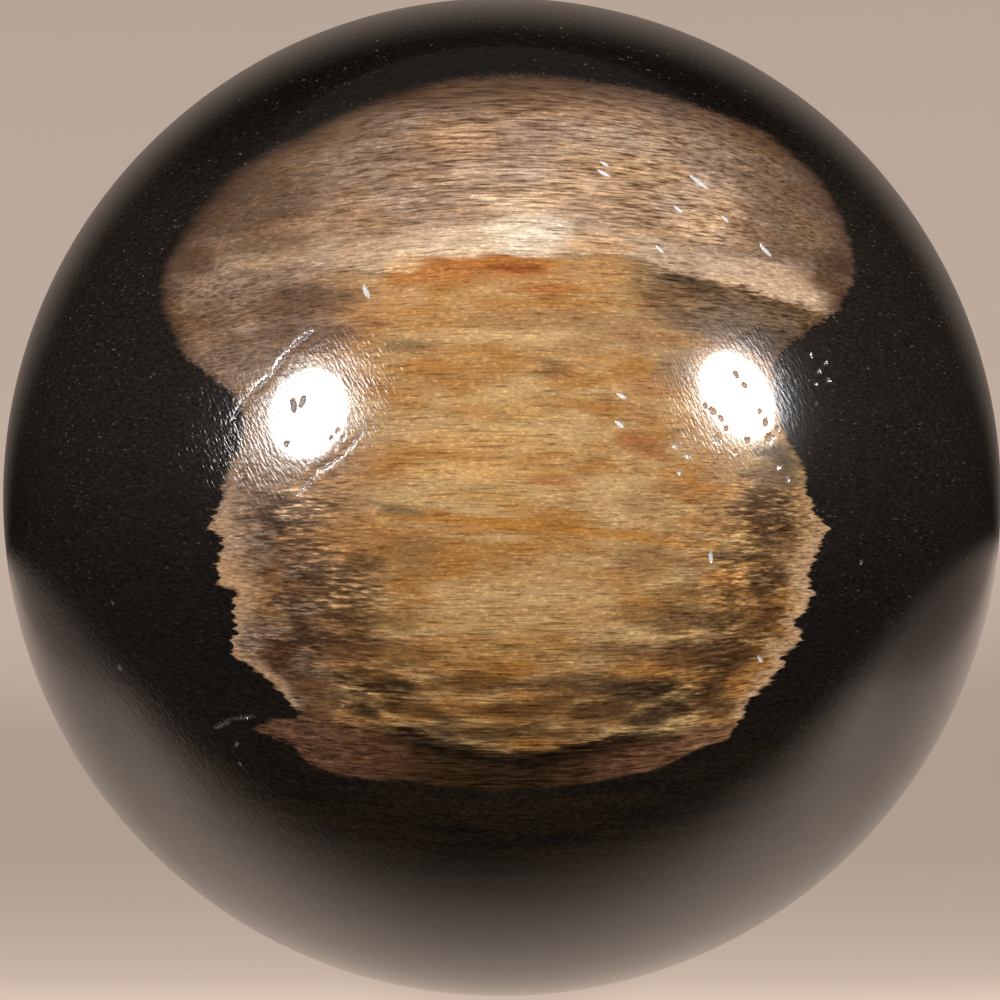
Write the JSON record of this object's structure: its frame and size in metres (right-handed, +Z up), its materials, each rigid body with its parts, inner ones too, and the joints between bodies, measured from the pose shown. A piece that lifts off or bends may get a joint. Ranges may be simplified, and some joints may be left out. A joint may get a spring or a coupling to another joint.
{
  "type": "petrified wood sphere",
  "caption": "Polished sphere of dark petrified wood with a tan window of open grain on its face and fine natural pits, slits and fissures left in the polish.",
  "frame": {"origin": "centre of the ball", "axes": "+Z up as the ball is displayed, X along the wood's grain, -Y towards the viewer; the middle of the pale window lies in the YZ plane, looking out along -Y and 15 degrees up"},
  "size_m": [0.1, 0.1, 0.1],
  "materials": {
    "petrified_wood": "polished"
  },
  "bodies": {
    "root": {"polished_sphere": "petrified_wood"}
  },
  "joints": []
}
